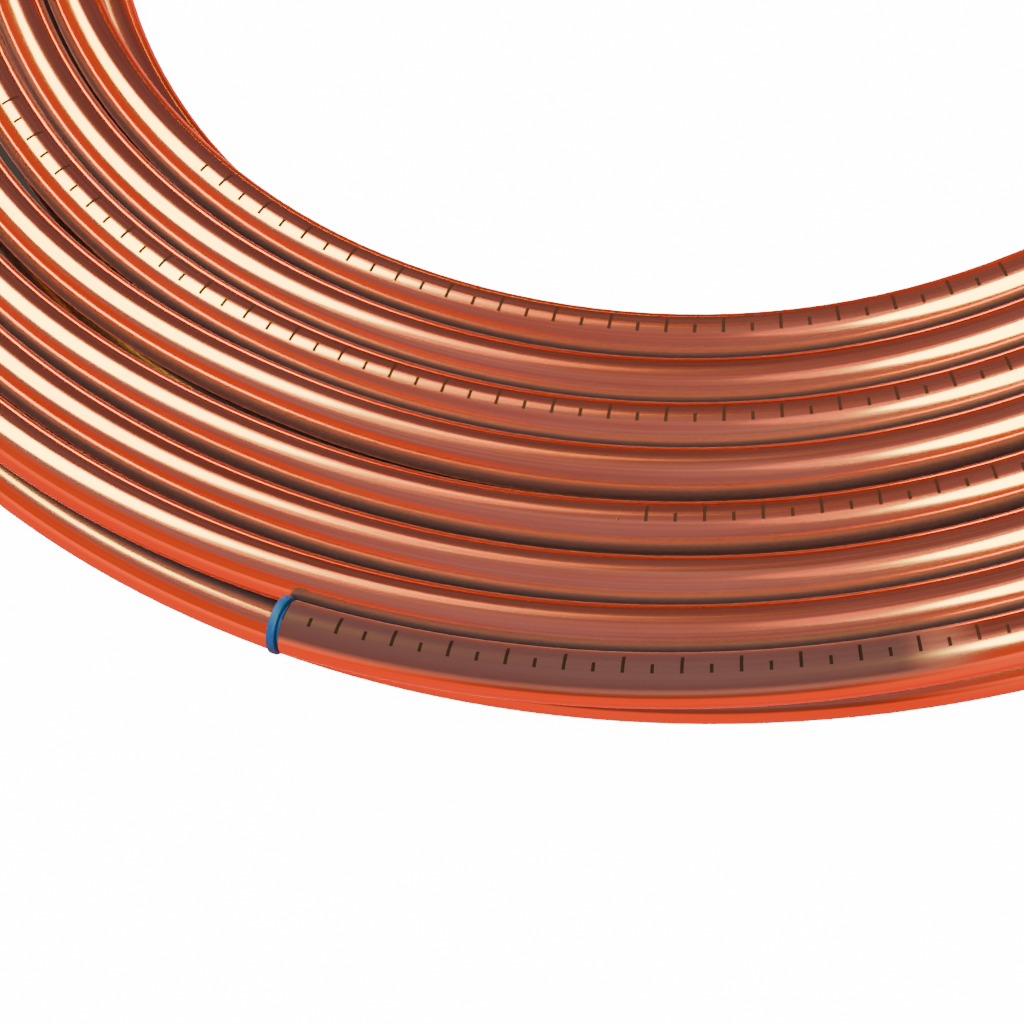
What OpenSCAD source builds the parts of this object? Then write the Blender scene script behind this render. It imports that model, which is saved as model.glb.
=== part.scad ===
// Coil of soft-drawn copper tube, wound flat in two layers, with a push-in plug in each end.
// The tube leaves its upper end at the outside of the coil and winds inwards through the upper layer.
// It drops to the lower layer along the innermost half turn and winds outwards to its lower end.
// Each quarter turn is a true arc, so each layer is a smooth four-centre spiral.

/* [Tube] */
// Outside diameter of the tube
tube_od = 9.525; // [8:0.025:12]
// Thickness of the tube's wall
tube_wall = 0.813; // [0.6:0.001:1.1]
// Length of the tube from end to end
tube_length = 15000; // [13000:100:17000]

/* [Winding] */
// Clear width across the middle of the coil, inside the innermost half turn
coil_bore = 242.675; // [220:0.005:280]
// Turns in the upper layer
upper_turns = 7.286; // [6.5:0.002:7.9]
// Gap between neighbouring turns of the upper layer
upper_gap = 0.875; // [0.5:0.025:2]
// Gap between neighbouring turns of the lower layer
lower_gap = 1.875; // [0.5:0.025:3]
// Gap between the two layers
layer_gap = 0.369; // [0.1:0.001:1]

/* [End plugs] */
// Diameter of the plug's flange
flange_d = 10.4; // [10:0.1:14]
// Thickness of the plug's flange
flange_t = 1.5; // [1:0.1:3]
// Chamfer around both edges of the flange
flange_chamfer = 0.4; // [0.1:0.05:0.5]
// Length of neck that shows between the tube's mouth and the flange
neck_length = 0.6; // [0.2:0.1:2]
// Length of stem inside the tube
stem_length = 8; // [5:0.5:12]
// How much slimmer the stem's tip is than its root, in diameter
stem_taper = 0.9; // [0.7:0.05:1.5]
// Radial clearance between the stem's root and the tube's bore
stem_clearance = 0.05; // [0.02:0.01:0.2]
// Wall and floor thickness of the hollow stem
stem_wall = 1; // [0.6:0.1:1.5]

/* [Hidden] */
$fn = 96;
copper_colour = [0.78, 0.38, 0.24];
plug_colour = [0.09, 0.42, 0.66];

// Lengths that set where two bends meet are kept to a whole number of microns.
function micron(length) = round(length * 1000) / 1000;

tube_id = tube_od - 2 * tube_wall;
first_radius = micron(coil_bore / 2 + tube_od / 2);
layer_pitch = tube_od + layer_gap;
upper_pitch = tube_od + upper_gap;
lower_pitch = tube_od + lower_gap;

// The innermost half turn slopes from one layer to the other and meets both of them level.
drop_radius = micron(norm([first_radius, layer_pitch / 2]));
drop_slope = atan2(layer_pitch / 2, first_radius);
// It is a hair thicker in the wall than the rest, so that it closes over the ends of both layers.
DROP_SWELL = 0.04;

// A layer is a chain of arcs that starts where the half turn ends. Each is a step wider than the last.
// Its centre moves back by that step from the joint between them, so the two bends meet smoothly.
ARC_ANGLE = 90;
arcs_per_turn = 360 / ARC_ANGLE;
function arc_start(i) = 180 + i * ARC_ANGLE;
function arc_step(pitch) = micron(pitch / arcs_per_turn);
function arc_radius(pitch, i) = first_radius + (i + 1) * arc_step(pitch);
function arc_centre(pitch, i) =
    i < 0 ? [0, 0]
    : arc_centre(pitch, i - 1) - arc_step(pitch) * [cos(arc_start(i)), sin(arc_start(i))];
function bend_length(radius, angle) = radius * angle * PI / 180;
function arc_length(pitch, i) = bend_length(arc_radius(pitch, i), ARC_ANGLE);

// Share of one arc that is wound when a layer has made this many turns
function arc_share(turns, i) = min(1, turns * arcs_per_turn - i);
function last_arc(turns) = ceil(turns * arcs_per_turn) - 1;

// Length of the first turns of a layer, and the turns that a length of tube makes
function wound_length(pitch, turns, i = 0) =
    i > last_arc(turns) ? 0
    : arc_share(turns, i) * arc_length(pitch, i) + wound_length(pitch, turns, i + 1);
function turns_of(pitch, length, i = 0) =
    length <= arc_length(pitch, i) ? (i + length / arc_length(pitch, i)) / arcs_per_turn
    : turns_of(pitch, length - arc_length(pitch, i), i + 1);

upper_length = wound_length(upper_pitch, upper_turns);
drop_length = bend_length(drop_radius, 180);
lower_turns = turns_of(lower_pitch, tube_length - upper_length - drop_length);

// The flange of the lower plug is wider than the tube, so it carries that end of the coil.
lower_height = max(tube_od, flange_d) / 2;
upper_height = lower_height + layer_pitch;

// Round section of the tube, standing at the given bend radius
module tube_section(radius, swell) {
    translate([radius, 0])
        difference() {
            circle(d = tube_od + swell);
            circle(d = tube_id - swell);
        }
}

// One bend of the tube about the Z axis
module tube_bend(radius, start, angle, swell = 0) {
    rotate([0, 0, start])
        rotate_extrude(angle = angle)
            tube_section(radius, swell);
}

// All the turns of one layer, from its inner end outwards
module wound_layer(pitch, turns) {
    for (i = [0 : last_arc(turns)])
        translate(arc_centre(pitch, i))
            tube_bend(arc_radius(pitch, i), arc_start(i) % 360, arc_share(turns, i) * ARC_ANGLE);
}

// Places what it is given at the mouth of the tube at the outer end of a layer, with +Z pointing out
module at_mouth(pitch, turns) {
    i = last_arc(turns);
    translate(arc_centre(pitch, i))
        rotate([0, 0, arc_start(i) + arc_share(turns, i) * ARC_ANGLE])
            translate([arc_radius(pitch, i), 0, 0])
                rotate([-90, 0, 0])
                    children();
}

// The upper layer is the mirror image of a lower one, so that it winds the other way
module in_lower_layer() {
    translate([0, 0, lower_height])
        children();
}
module in_upper_layer() {
    translate([0, 0, upper_height])
        mirror([1, 0, 0])
            children();
}

module copper_tube() {
    color(copper_colour) {
        in_upper_layer()
            wound_layer(upper_pitch, upper_turns);
        translate([0, 0, (lower_height + upper_height) / 2])
            rotate([0, -drop_slope, 0])
                tube_bend(drop_radius, 0, 180, DROP_SWELL);
        in_lower_layer()
            wound_layer(lower_pitch, lower_turns);
    }
}

// Moulded plug: a chamfered flange on a hollow, tapered stem that is closed at its tip
module end_plug() {
    flange_r = flange_d / 2;
    root_r = tube_id / 2 - stem_clearance;
    tip_r = root_r - stem_taper / 2;
    face = neck_length + flange_t;
    color(plug_colour)
        rotate_extrude()
            polygon([
                [0, -stem_length],
                [tip_r, -stem_length],
                [root_r, 0],
                [root_r, neck_length],
                [flange_r - flange_chamfer, neck_length],
                [flange_r, neck_length + flange_chamfer],
                [flange_r, face - flange_chamfer],
                [flange_r - flange_chamfer, face],
                [root_r - stem_wall, face],
                [tip_r - stem_wall, stem_wall - stem_length],
                [0, stem_wall - stem_length]
            ]);
}

module upper_end_plug() {
    in_upper_layer()
        at_mouth(upper_pitch, upper_turns)
            end_plug();
}

module lower_end_plug() {
    in_lower_layer()
        at_mouth(lower_pitch, lower_turns)
            end_plug();
}

copper_tube();
upper_end_plug();
lower_end_plug();
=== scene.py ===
import math
import bpy
import numpy as np
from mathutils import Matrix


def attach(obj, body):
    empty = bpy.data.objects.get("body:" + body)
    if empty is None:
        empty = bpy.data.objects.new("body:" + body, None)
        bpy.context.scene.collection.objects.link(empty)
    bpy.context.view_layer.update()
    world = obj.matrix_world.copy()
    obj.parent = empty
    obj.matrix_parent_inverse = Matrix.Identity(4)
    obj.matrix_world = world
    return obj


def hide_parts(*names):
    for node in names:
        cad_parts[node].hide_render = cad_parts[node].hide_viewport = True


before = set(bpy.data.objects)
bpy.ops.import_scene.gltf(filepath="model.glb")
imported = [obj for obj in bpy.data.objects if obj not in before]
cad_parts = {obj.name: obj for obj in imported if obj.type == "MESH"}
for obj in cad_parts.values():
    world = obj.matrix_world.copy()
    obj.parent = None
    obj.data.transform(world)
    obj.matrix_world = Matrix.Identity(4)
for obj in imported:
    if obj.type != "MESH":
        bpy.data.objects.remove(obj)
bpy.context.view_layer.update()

# Copper tube
# One 15 m length of soft copper tube, drawn bright, annealed and wound into two flat layers.
# It winds inwards through the upper layer, drops along the innermost half turn and winds outwards below.
# Its turns lie unevenly: some almost touch and some stand about two millimetres apart.
MM = 0.001
tube_od = 9.525
tube_wall = 0.813
tube_length = 15000
first_radius = 126.1
layer_pitch = 9.894
upper_pitch = 10.4
lower_pitch = 11.4
upper_turns = 7.286
lower_height = 5.2
ring_spacing = 5.2
ring_sides = 32

# Each layer is a chain of quarter turns, each one step wider than the last, about four centres in a square
quarters = 4
quarter_angle = 2 * math.pi / quarters
quarter_centres = ((1, 0), (1, 1), (0, 1), (0, 0))
upper_step = upper_pitch / quarters
lower_step = lower_pitch / quarters


def quarter_radius(step, i):
    return first_radius + (i + 1) * step


def quarter_length(step, i):
    return quarter_radius(step, i) * quarter_angle


def quarter_share(turns, i):
    """Share of one quarter turn that is wound when a layer has made this many turns."""
    return min(1, turns * quarters - i)


def wound_length(step, turns):
    """Length of the first turns of a layer, from its inner end."""
    return sum(quarter_share(turns, i) * quarter_length(step, i) for i in range(math.ceil(turns * quarters)))


def turns_of(step, length):
    """Turns of a layer that a length of tube makes."""
    i = 0
    while length > quarter_length(step, i):
        length -= quarter_length(step, i)
        i += 1
    return (i + length / quarter_length(step, i)) / quarters


def layer_route(step, turns):
    """Rows of x, y, outward x, outward y and turn number along a layer, from its inner end outwards."""
    rows = []
    last = math.ceil(turns * quarters) - 1
    for i in range(last + 1):
        sweep = quarter_share(turns, i) * quarter_angle
        radius = quarter_radius(step, i)
        count = max(2, math.ceil(sweep * radius / ring_spacing))
        angles = math.pi + i * quarter_angle + np.linspace(0, sweep, count, endpoint=i == last)
        outward = np.stack([np.cos(angles), np.sin(angles)], 1)
        centre = np.array(quarter_centres[i % quarters]) * step
        turn = np.full(count, i // quarters + 1)
        rows.append(np.column_stack([centre + radius * outward, outward, turn]))
    return np.concatenate(rows)


# How far each upper turn strays outwards from an even winding, at six bearings from the front
bearings = (-125, -48, -20, 14, 45, 125)
strays = (
    (0, 0.1, 0.3, 1.0, 0.3, 0),
    (0, 0.0, -0.2, 0.3, -0.2, 0),
    (0, -0.8, -1.0, -0.5, -1.0, 0),
    (0, 0.0, -1.8, -1.2, -1.8, 0),
    (0, 1.2, -0.4, -0.1, -0.8, 0),
    (0, 0.4, 0.1, 1.0, 0.1, 0),
    (0, 0.2, 0.5, 0.6, 0.0, 0),
    (0, 0.0, 0.0, 0.0, 0.2, 0),
)


def stray_of(turn, bearing):
    """Smooth stray of one turn at a bearing in degrees."""
    k = np.searchsorted(bearings, bearing)
    if k == 0 or k == len(bearings):
        return 0.0
    share = (bearing - bearings[k - 1]) / (bearings[k] - bearings[k - 1])
    share = share * share * (3 - 2 * share)
    return strays[turn - 1][k - 1] * (1 - share) + strays[turn - 1][k] * share


upper_height = lower_height + layer_pitch
drop_radius = math.hypot(first_radius, layer_pitch / 2)
drop_length = math.pi * drop_radius
lower_turns = turns_of(lower_step, tube_length - wound_length(upper_step, upper_turns) - drop_length)

upper = layer_route(upper_step, upper_turns)[::-1]
upper[:, [0, 2]] *= -1
upper_turn = upper[:, 4].astype(int)
upper_bearing = np.degrees(np.arctan2(upper[:, 0], -upper[:, 1]))
upper_stray = np.array([stray_of(turn, bearing) for turn, bearing in zip(upper_turn, upper_bearing)])
upper_plan = upper[:, :2] + upper_stray[:, None] * upper[:, 2:4]

drop_angles = np.linspace(0, math.pi, math.ceil(drop_length / ring_spacing), endpoint=False)[1:]
drop_plan = np.stack([first_radius * np.cos(drop_angles), drop_radius * np.sin(drop_angles)], 1)
drop_heights = (upper_height + lower_height) / 2 + layer_pitch / 2 * np.cos(drop_angles)

lower_plan = layer_route(lower_step, lower_turns)[:, :2]

# The route of the tube's middle line, and the three directions at each of its points
route = np.concatenate([
    np.column_stack([upper_plan, np.full(len(upper_plan), upper_height)]),
    np.column_stack([drop_plan, drop_heights]),
    np.column_stack([lower_plan, np.full(len(lower_plan), lower_height)]),
])
last_point = len(route) - 1
along = np.gradient(route, axis=0)
along /= np.linalg.norm(along, axis=1)[:, None]
outward = np.stack([along[:, 1], -along[:, 0], np.zeros(len(along))], 1)
outward /= np.linalg.norm(outward, axis=1)[:, None]
upward = np.cross(outward, along)
run = np.concatenate([[0], np.cumsum(np.linalg.norm(np.diff(route, axis=0), axis=1))])


def ring(index, radius, slide=0.0):
    """One ring of points round the tube's route, from its underside, moved along it by slide."""
    turn = np.linspace(0, 2 * math.pi, ring_sides, endpoint=False) - math.pi / 2
    spokes = np.cos(turn)[:, None] * outward[index] + np.sin(turn)[:, None] * upward[index]
    return route[index] + slide * along[index] + radius * spokes


# Each end is cut square, with its edge broken by the cutter, and opens into a short length of bore
bore_rings = 3
edge_break = 0.15
outer_radius = tube_od / 2
inner_radius = outer_radius - tube_wall
edge_radius = outer_radius - edge_break
rings = [(ring(k, inner_radius), run[k]) for k in range(bore_rings, 0, -1)]
rings += [(ring(0, inner_radius), 0), (ring(0, edge_radius), 0)]
rings += [(ring(0, outer_radius, edge_break), edge_break)]
rings += [(ring(k, outer_radius), run[k]) for k in range(1, last_point)]
rings += [(ring(last_point, outer_radius, -edge_break), run[-1] - edge_break)]
rings += [(ring(last_point, edge_radius), run[-1]), (ring(last_point, inner_radius), run[-1])]
rings += [(ring(last_point - k, inner_radius), run[last_point - k]) for k in range(1, bore_rings + 1)]

# The map runs along the tube in U and once round it in V, from its underside
tube_points = np.concatenate([points for points, _ in rings]) * MM
tube_faces = []
tube_uv = []
for j in range(len(rings) - 1):
    near, far = j * ring_sides, (j + 1) * ring_sides
    u0, u1 = rings[j][1] / tube_length, rings[j + 1][1] / tube_length
    for s in range(ring_sides):
        t = (s + 1) % ring_sides
        tube_faces.append((near + s, far + s, far + t, near + t))
        v0, v1 = s / ring_sides, (s + 1) / ring_sides
        tube_uv += [u0, v0, u1, v0, u1, v1, u0, v1]
first_cap = list(range(ring_sides))
last_cap = [(len(rings) - 1) * ring_sides + s for s in range(ring_sides)]
tube_faces += [tuple(first_cap), tuple(reversed(last_cap))]
tube_uv += [0.0, 0.0] * ring_sides + [1.0, 0.0] * ring_sides

tube_crease = 30
tube_mesh = bpy.data.meshes.new("copper_tube_turns")
tube_mesh.from_pydata(tube_points.tolist(), [], tube_faces)
tube_mesh.uv_layers.new(name="tube_run").data.foreach_set("uv", tube_uv)
tube_mesh.shade_smooth()
tube_mesh.set_sharp_from_angle(angle=math.radians(tube_crease))
tube = bpy.data.objects.new("copper_tube_turns", tube_mesh)
bpy.context.collection.objects.link(tube)

# Stretches of the upper turns that carry plain ink ticks, by turn and the bearing where they start
printed_stretches = ((1, -40), (3, -65), (5, 2), (8, -33))
printed = np.zeros(len(route))
for turn, first_bearing in printed_stretches:
    printed[:len(upper)][(upper_turn == turn) & (upper_bearing > first_bearing)] = 1
ring_print = np.interp([distance for _, distance in rings], run, printed)
print_layer = tube_mesh.attributes.new("printed", "FLOAT", "POINT")
print_layer.data.foreach_set("value", np.repeat(ring_print, ring_sides))


def linear(hex_colour):
    """Linear colour of an sRGB hex value."""
    channels = [int(hex_colour[i:i + 2], 16) / 255 for i in (1, 3, 5)]
    return tuple(c / 12.92 if c <= 0.04045 else ((c + 0.055) / 1.055) ** 2.4 for c in channels) + (1.0,)


def add_node(tree, kind, settings=None, links=None):
    """A new node with its properties and input values set and its inputs linked."""
    node = tree.nodes.new(kind)
    for name, value in (settings or {}).items():
        if isinstance(name, int) or name in node.inputs:
            node.inputs[name].default_value = value
        else:
            setattr(node, name, value)
    for name, source in (links or {}).items():
        tree.links.new(source, node.inputs[name])
    return node


def maths(tree, operation, *operands):
    """Result of one operation on plain numbers and other nodes' outputs."""
    numbers = {k: operand for k, operand in enumerate(operands) if isinstance(operand, (int, float))}
    links = {k: operand for k, operand in enumerate(operands) if k not in numbers}
    return add_node(tree, "ShaderNodeMath", {"operation": operation, **numbers}, links).outputs["Value"]


def value_range(tree, value, low, high, at_low=0.0, at_high=1.0, interpolation="SMOOTHSTEP"):
    """A value that goes from at_low to at_high as another goes from low to high."""
    limits = {"From Min": low, "From Max": high, "To Min": at_low, "To Max": at_high}
    settings = {"interpolation_type": interpolation, **limits}
    return add_node(tree, "ShaderNodeMapRange", settings, {"Value": value}).outputs["Result"]


def colour_range(tree, value, low, low_colour, high, high_colour):
    """A colour that goes from one to another as a value goes from low to high."""
    node = add_node(tree, "ShaderNodeValToRGB", None, {"Fac": value})
    for element, position, colour in zip(node.color_ramp.elements, (low, high), (low_colour, high_colour)):
        element.position = position
        element.color = colour
    return node.outputs["Color"]


def colour_mix(tree, share, below, over):
    """A colour with a share of a plain colour laid over it."""
    node = add_node(tree, "ShaderNodeMix", {"data_type": "RGBA", 7: over}, {"Factor": share, 6: below})
    return node.outputs[2]


def tube_noise(tree, place, length, width, detail, roughness):
    """Noise whose features have a length along the tube and a width round it."""
    features = {"Scale": (tube_length / length, circumference / width, 1)}
    stretched = add_node(tree, "ShaderNodeMapping", features, {"Vector": place})
    grain = {"noise_dimensions": "2D", "Scale": 1.0, "Detail": detail, "Roughness": roughness}
    return add_node(tree, "ShaderNodeTexNoise", grain, {"Vector": stretched.outputs["Vector"]}).outputs["Fac"]


# Soft-drawn copper, bright from the die: a clean pink metal whose drawing lines run along the tube.
# The eye sees sharp, slightly streaked reflections and faint warmer patches. Painted shade, a dark mauve that
# stands for a reflection, covers the top of the outer end, and painted shade darkens the sides next to other
# turns.
copper = bpy.data.materials.new("bright drawn copper")
copper.use_nodes = True
tree = copper.node_tree
copper_shader = tree.nodes["Principled BSDF"]
circumference = math.pi * tube_od
line_length, line_width = 260, 0.5
patch_length, patch_width = 90, 14
place = add_node(tree, "ShaderNodeUVMap", {"uv_map": "tube_run"}).outputs["UV"]
place_split = add_node(tree, "ShaderNodeSeparateXYZ", None, {"Vector": place})
run_share, round_share = place_split.outputs["X"], place_split.outputs["Y"]
lines = tube_noise(tree, place, line_length, line_width, 3.0, 0.6)
patches = tube_noise(tree, place, patch_length, patch_width, 4.0, 0.55)
streaks = add_node(tree, "ShaderNodeMix", {"Factor": 0.5}, {"A": patches, "B": lines}).outputs["Result"]
noise_low, noise_high = 0.3, 0.7
colour = colour_range(tree, streaks, noise_low, linear("#DA7C58"), noise_high, linear("#EE9C7C"))

# Painted shade covers the top and front of the outer end for about 11 cm: a dark mauve that stands for the
# room's reflection, with the highlight dulled away
end_shade_length, end_shade_stop = 106, 122
end_shade_strength = 0.92
end_shade_foot, end_shade_top = 0.3, 0.36
run_mm = maths(tree, "MULTIPLY", run_share, tube_length)
end_shade_run = value_range(tree, run_mm, end_shade_length, end_shade_stop, end_shade_strength, 0.0)
end_shade_side = value_range(tree, round_share, end_shade_foot, end_shade_top)
end_shade = maths(tree, "MULTIPLY", end_shade_run, end_shade_side)
colour = colour_mix(tree, end_shade, colour, linear("#3A3032"))

# Painted shade: a dark grey darkens the sides that lie against the next turn, where the gaps fall in shade
gap_reach = 6
deep_gap, open_air = 0.38, 0.74
gap_shade_strength = 0.95
openness = add_node(tree, "ShaderNodeAmbientOcclusion", {"samples": 8, "Distance": gap_reach * MM})
gap_shade = value_range(tree, openness.outputs["AO"], deep_gap, open_air, gap_shade_strength, 0.0)
colour = colour_mix(tree, gap_shade, colour, linear("#353436"))

# Ink-jet ticks every 5 mm along the top of the printed stretches, every second one tall, faded in patches
tick_pitch, tick_width = 5, 0.6
tick_foot, short_tick, tall_tick = -1.6, 1.7, 3.4
ink_faded, ink_whole = 0.26, 0.27
ink_thickness = 0.95
stretch = add_node(tree, "ShaderNodeAttribute", {"attribute_name": "printed"}).outputs["Fac"]
above_foot = maths(tree, "MULTIPLY_ADD", round_share, circumference, -circumference / 2 - tick_foot)
on_tick = maths(tree, "LESS_THAN", maths(tree, "PINGPONG", run_mm, tick_pitch / 2), tick_width / 2)
is_tall = maths(tree, "LESS_THAN", maths(tree, "PINGPONG", run_mm, tick_pitch), tick_pitch / 2)
tick_height = maths(tree, "MULTIPLY_ADD", is_tall, tall_tick - short_tick, short_tick)
under_top = maths(tree, "LESS_THAN", above_foot, tick_height)
ink_strength = maths(tree, "GREATER_THAN", above_foot, 0.0)
for limit in (under_top, on_tick, stretch, patches):
    ink_strength = maths(tree, "MULTIPLY", ink_strength, limit)
ink = value_range(tree, ink_strength, ink_faded, ink_whole, 0.0, ink_thickness, "LINEAR")
colour = colour_mix(tree, ink, colour, linear("#1C1412"))
tree.links.new(colour, copper_shader.inputs["Base Color"])

# Only bare metal is bright and metallic: the painted shade on the outer end and in the gaps, and the ink,
# make it rougher and hide it
bright, brushed = 0.1, 0.15
end_shade_rough, gap_shade_rough, ink_rough = 0.22, 0.5, 0.55
finish = value_range(tree, lines, noise_low, noise_high, bright, brushed, "LINEAR")
for rough, cover in ((end_shade_rough, end_shade), (gap_shade_rough, gap_shade), (ink_rough, ink)):
    finish = add_node(tree, "ShaderNodeMix", {"B": rough}, {"Factor": cover, "A": finish}).outputs["Result"]
tree.links.new(finish, copper_shader.inputs["Roughness"])
covered = maths(tree, "MAXIMUM", maths(tree, "MAXIMUM", end_shade, gap_shade), ink)
tree.links.new(maths(tree, "SUBTRACT", 1.0, covered), copper_shader.inputs["Metallic"])
line_depth = 0.02
relief = add_node(tree, "ShaderNodeBump", {"Strength": 0.05, "Distance": line_depth * MM}, {"Height": lines})
tree.links.new(relief.outputs["Normal"], copper_shader.inputs["Normal"])
copper_shader.inputs["Specular IOR Level"].default_value = 0.04
copper_shader.inputs["Specular Tint"].default_value = linear("#F09078")

# A trace of drawing oil gives the metal a soft warm sheen at its edges
copper_shader.inputs["Sheen Weight"].default_value = 0.8
copper_shader.inputs["Sheen Roughness"].default_value = 0.3
copper_shader.inputs["Sheen Tint"].default_value = linear("#F08A70")
tube_mesh.materials.append(copper)
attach(tube, "root")
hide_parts("copper_tube")

# End plugs
# Small injection-moulded plastic plugs, pushed into both tube ends by hand to keep the bore clean and dry.
# Each has a round-edged flange just wider than the tube, on a hollow stem that tapers to a closed tip.
flange_radius = 10.4 / 2
flange_thickness = 1.5
flange_edge = 0.4
neck_length = 0.6
stem_length = 8
stem_clearance = 0.05
stem_taper = 0.45
stem_wall = 1.0
tip_edge = 0.5
recess_edge = 0.3
recess_draft = 0.4
lathe_sides = 48


def rounded(corner_r, corner_z, radius, start, steps=5):
    """Points of a quarter-round edge of a lathe profile, about its own centre."""
    angles = np.radians(np.linspace(start, start + 90, steps))
    return [(corner_r + radius * math.cos(a), corner_z + radius * math.sin(a)) for a in angles]


# Outline of half the plug, from the stem's tip round to the floor of the recess, by radius and height
flange_face = neck_length + flange_thickness
stem_root = inner_radius - stem_clearance
tip_flat = stem_root - stem_taper - tip_edge
recess = stem_root - stem_wall
recess_floor = stem_wall - stem_length
profile = [(0, -stem_length), (tip_flat, -stem_length)]
profile += rounded(tip_flat, tip_edge - stem_length, tip_edge, -90)[1:]
profile += [(stem_root, 0), (stem_root, neck_length)]
profile += rounded(flange_radius - flange_edge, neck_length + flange_edge, flange_edge, -90)
profile += rounded(flange_radius - flange_edge, flange_face - flange_edge, flange_edge, 0)
profile += [(recess + recess_edge, flange_face), (recess, flange_face - recess_edge)]
profile += [(recess - recess_draft, recess_floor), (0, recess_floor)]

# Low-density polyethylene, moulded with a fine spark-eroded skin: a strong blue with a soft waxy gloss
blue_plastic = bpy.data.materials.new("moulded blue polyethylene")
blue_plastic.use_nodes = True
tree = blue_plastic.node_tree
plug_shader = tree.nodes["Principled BSDF"]
skin_grain, skin_depth = 0.25, 0.02
solid_place = add_node(tree, "ShaderNodeTexCoord").outputs["Object"]
skin_scale = {"Scale": 1 / (skin_grain * MM), "Detail": 2.0}
skin = add_node(tree, "ShaderNodeTexNoise", skin_scale, {"Vector": solid_place}).outputs["Fac"]
shade = colour_range(tree, skin, 0.35, linear("#164E86"), 0.65, linear("#1C5A98"))
tree.links.new(shade, plug_shader.inputs["Base Color"])
skin_bump = {"Strength": 0.2, "Distance": skin_depth * MM}
skin_relief = add_node(tree, "ShaderNodeBump", skin_bump, {"Height": skin})
tree.links.new(skin_relief.outputs["Normal"], plug_shader.inputs["Normal"])
plug_shader.inputs["Roughness"].default_value = 0.45
plug_shader.inputs["Specular IOR Level"].default_value = 0.15
plug_shader.inputs["IOR"].default_value = 1.51
plug_crease = 40


def end_plug(name, index, out_sign):
    """A plug in the tube's mouth at one end of the route, with its flange outside."""
    turns = np.linspace(0, 2 * math.pi, lathe_sides, endpoint=False)
    out = out_sign * along[index]
    spokes = np.cos(turns)[:, None] * outward[index] + np.sin(turns)[:, None] * out_sign * upward[index]
    hoops = [route[index] + height * out + radius * spokes for radius, height in profile[1:-1]]
    poles = [[route[index] + profile[k][1] * out] for k in (0, -1)]
    last_hoop = (len(hoops) - 1) * lathe_sides
    tip_pole = last_hoop + lathe_sides
    faces = []
    for s in range(lathe_sides):
        t = (s + 1) % lathe_sides
        for a in range(0, last_hoop, lathe_sides):
            b = a + lathe_sides
            faces.append((a + s, a + t, b + t, b + s))
        faces.append((tip_pole, t, s))
        faces.append((tip_pole + 1, last_hoop + s, last_hoop + t))
    mesh = bpy.data.meshes.new(name)
    mesh.from_pydata((np.concatenate(hoops + poles) * MM).tolist(), [], faces)
    mesh.validate()
    mesh.shade_smooth()
    mesh.set_sharp_from_angle(angle=math.radians(plug_crease))
    mesh.materials.append(blue_plastic)
    plug = bpy.data.objects.new(name, mesh)
    bpy.context.collection.objects.link(plug)
    return plug


for end_name, index, out_sign in (("upper_end_plug", 0, -1), ("lower_end_plug", last_point, 1)):
    plug = end_plug(end_name + "_moulding", index, out_sign)
    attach(plug, "root")
    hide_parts(end_name)

# Floor
# A plain white light table that the coil lies on, evenly lit from within.
# Its light stays out of the metal's reflections, which come from the room.
floor_half = 6.0
floor_corners = ((-1, -1), (1, -1), (1, 1), (-1, 1))
floor_mesh = bpy.data.meshes.new("studio_floor")
floor_mesh.from_pydata([(x * floor_half, y * floor_half, 0) for x, y in floor_corners], [], [(0, 1, 2, 3)])
floor = bpy.data.objects.new("studio_floor", floor_mesh)
floor.visible_glossy = False
floor.visible_diffuse = False
bpy.context.collection.objects.link(floor)
white_glass = bpy.data.materials.new("white opal glass")
white_glass.use_nodes = True
floor_shader = white_glass.node_tree.nodes["Principled BSDF"]
floor_shader.inputs["Base Color"].default_value = linear("#E8ECF2")
floor_shader.inputs["Roughness"].default_value = 0.9
floor_shader.inputs["Emission Color"].default_value = linear("#FFFFFF")
floor_shader.inputs["Emission Strength"].default_value = 14.0
floor_mesh.materials.append(white_glass)

# Painted shadow ring
# A dark, faintly glowing ring on the light table, all of it under the coil, is a painted shadow that keeps
# the table's light out of the gaps.
shadow_ring_inner, shadow_ring_outer = 126, 188
shadow_ring_height = 0.2
shadow_ring_sides = 96
shadow_ring_points = []
shadow_ring_faces = []
for radius in (shadow_ring_inner, shadow_ring_outer):
    for angle in np.linspace(0, 2 * math.pi, shadow_ring_sides, endpoint=False):
        shadow_ring_points.append((radius * MM * math.cos(angle), radius * MM * math.sin(angle), shadow_ring_height * MM))
for s in range(shadow_ring_sides):
    t = (s + 1) % shadow_ring_sides
    shadow_ring_faces.append((s, shadow_ring_sides + s, shadow_ring_sides + t, t))
shadow_ring_mesh = bpy.data.meshes.new("painted_shadow_ring")
shadow_ring_mesh.from_pydata(shadow_ring_points, [], shadow_ring_faces)
shadow_ring = bpy.data.objects.new("painted_shadow_ring", shadow_ring_mesh)
bpy.context.collection.objects.link(shadow_ring)
shadow_paint = bpy.data.materials.new("painted shadow")
shadow_paint.use_nodes = True
shadow_ring_shader = shadow_paint.node_tree.nodes["Principled BSDF"]
shadow_ring_shader.inputs["Base Color"].default_value = linear("#2A1A14")
shadow_ring_shader.inputs["Roughness"].default_value = 0.9
shadow_ring_shader.inputs["Emission Color"].default_value = linear("#453E3A")
shadow_ring_shader.inputs["Emission Strength"].default_value = 1.0
shadow_ring_mesh.materials.append(shadow_paint)

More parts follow.
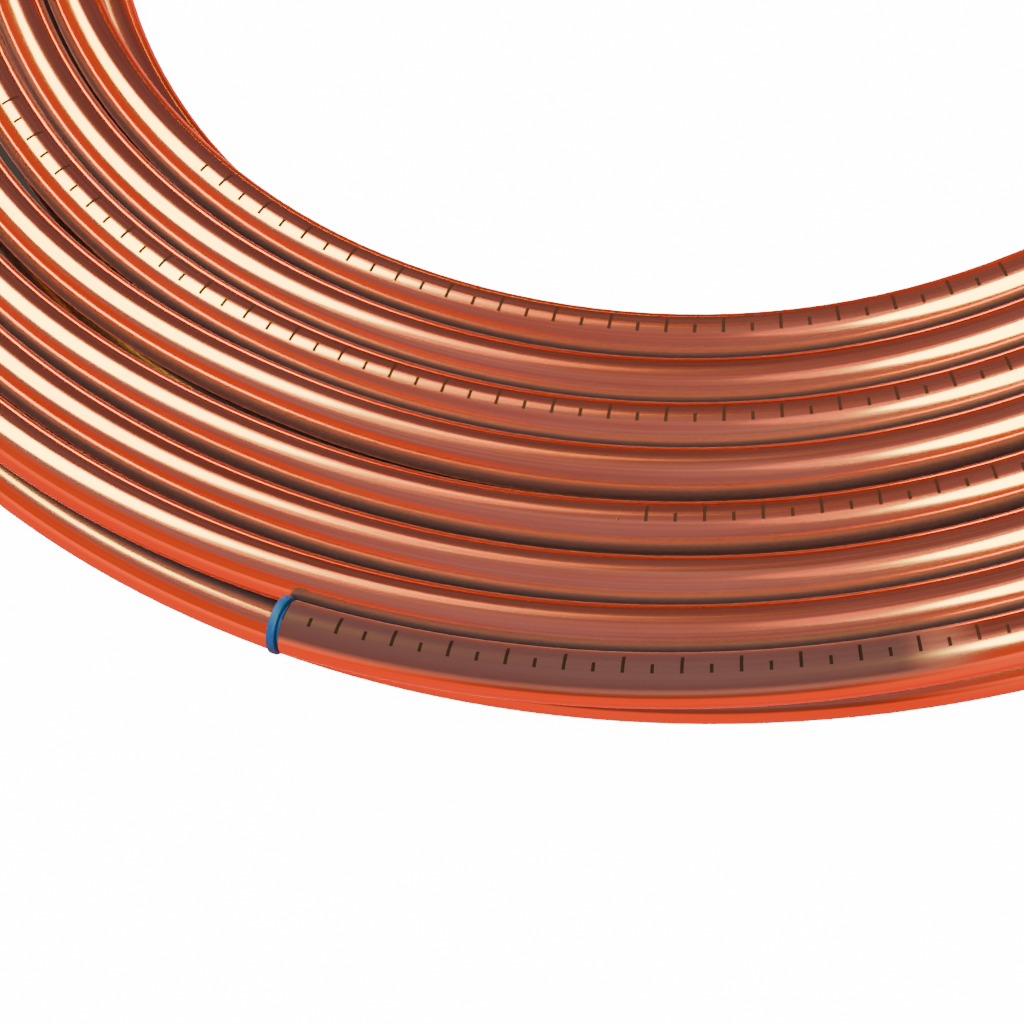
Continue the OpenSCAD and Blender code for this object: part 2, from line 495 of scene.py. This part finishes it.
# Room
# Grey walls, darker behind the coil and warm low down on both sides. Warm light comes up from below,
# paler on the right and in shade straight ahead. All colours are linear light, some brighter than white.
low_wall = (0.32, 0.28, 0.38, 1)
high_wall = (0.52, 0.35, 0.48, 1)
warm_wall = (0.95, 0.17, 0.05, 1)
deep_glow = (1.5, 0.17, 0.01, 1)
shallow_glow = (2.2, 0.36, 0.03, 1)
right_glow = (2.2, 0.62, 0.28, 1)
shade_ahead = (0.3, 0.16, 0.16, 1)
black = (0, 0, 0, 1)
horizon = -0.03
world = bpy.data.worlds.new("studio_room")
bpy.context.scene.world = world
world.use_nodes = True
tree = world.node_tree
facing = add_node(tree, "ShaderNodeTexCoord").outputs["Generated"]
facing_split = add_node(tree, "ShaderNodeSeparateXYZ", None, {"Vector": facing})
to_right, to_back, to_top = (facing_split.outputs[axis] for axis in "XYZ")
aside = value_range(tree, maths(tree, "ABSOLUTE", to_right), 0.2, 0.5)

walls = colour_range(tree, to_top, 0.1, low_wall, 0.9, high_wall)
walls = colour_mix(tree, value_range(tree, to_back, -0.2, 0.6, 0.0, 0.42), walls, black)
low_down = value_range(tree, to_top, 0.5, 0.68, 1.0, 0.0)
walls = colour_mix(tree, maths(tree, "MULTIPLY", aside, low_down), walls, warm_wall)

glow_height = value_range(tree, to_top, -1.0, 1.0, interpolation="LINEAR")
glow = colour_range(tree, glow_height, 0.3, deep_glow, 0.47, shallow_glow)
glow = colour_mix(tree, value_range(tree, to_right, 0.2, 0.7, 0.0, 0.8, "LINEAR"), glow, right_glow)
shallow = value_range(tree, to_top, -0.5, -0.3)
ahead = maths(tree, "SUBTRACT", 1.0, aside)
glow = colour_mix(tree, maths(tree, "MULTIPLY", ahead, shallow), glow, shade_ahead)

above = maths(tree, "GREATER_THAN", to_top, horizon)
room = add_node(tree, "ShaderNodeMix", {"data_type": "RGBA"}, {"Factor": above, 6: glow, 7: walls})
tree.links.new(room.outputs[2], tree.nodes["Background"].inputs["Color"])

# Lights
# A gold softbox with a rose halo on each side of the coil and an amber panel at the back left, which only
# show in reflections. White softboxes at the front and the back left light the plastic, the painted gap
# shade and the ink, and stay out of reflections.
gold = (0.6, 1.0, 0.09)
amber = (1.0, 0.42, 0.05)
rose = (1.0, 0.3, 0.1)
white = (1.0, 0.98, 0.95)
lamp_distance = 2.0


def softbox(name, bearing, elevation, width, height, radiance, colour):
    """An area light at a bearing from the front, aimed at the coil."""
    light = bpy.data.lights.new(name, "AREA")
    light.shape = "ELLIPSE"
    light.size = width
    light.size_y = height
    light.color = colour
    face_area = math.pi / 4 * width * height
    light.energy = radiance * math.pi * face_area
    lamp = bpy.data.objects.new(name, light)
    b, e = math.radians(bearing), math.radians(elevation)
    reach = lamp_distance * math.cos(e)
    lamp.location = (reach * math.sin(b), -reach * math.cos(b), lamp_distance * math.sin(e))
    lamp.rotation_euler = (-lamp.location).to_track_quat("-Z", "Y").to_euler()
    bpy.context.collection.objects.link(lamp)
    return lamp


for lamp in (
    softbox("left_softbox", -112, 54, 1.5, 0.95, 24, gold),
    softbox("left_back_panel", -134, 54, 0.8, 0.9, 2.2, amber),
    softbox("right_softbox", 60, 50, 1.5, 1.8, 28, gold),
    softbox("left_halo", -112, 57, 1.9, 1.3, 1.3, rose),
    softbox("right_halo", 58, 57, 1.9, 2.3, 1.1, rose),
):
    lamp.visible_diffuse = False
for lamp in (
    softbox("top_softbox", 0, 60, 1.6, 1.6, 9, white),
    softbox("back_softbox", -135, 30, 1.6, 1.2, 6, white),
):
    lamp.visible_glossy = False

# Camera
# A long lens 0.9 m above the light table, looking down at the front of the coil.
lens_length = 228.1
sensor_width = 36
camera_right, camera_front, camera_rise = 208.3, 796.5, 897.2
camera_turn = (36.087, 6.581, 10.600)
camera_data = bpy.data.cameras.new("photo_camera")
camera_data.sensor_width = sensor_width
camera_data.lens = lens_length
camera_data.clip_end = 50
camera = bpy.data.objects.new("photo_camera", camera_data)
camera.location = (camera_right * MM, -camera_front * MM, (upper_height + camera_rise) * MM)
camera.rotation_euler = tuple(math.radians(angle) for angle in camera_turn)
bpy.context.collection.objects.link(camera)
bpy.context.scene.camera = camera
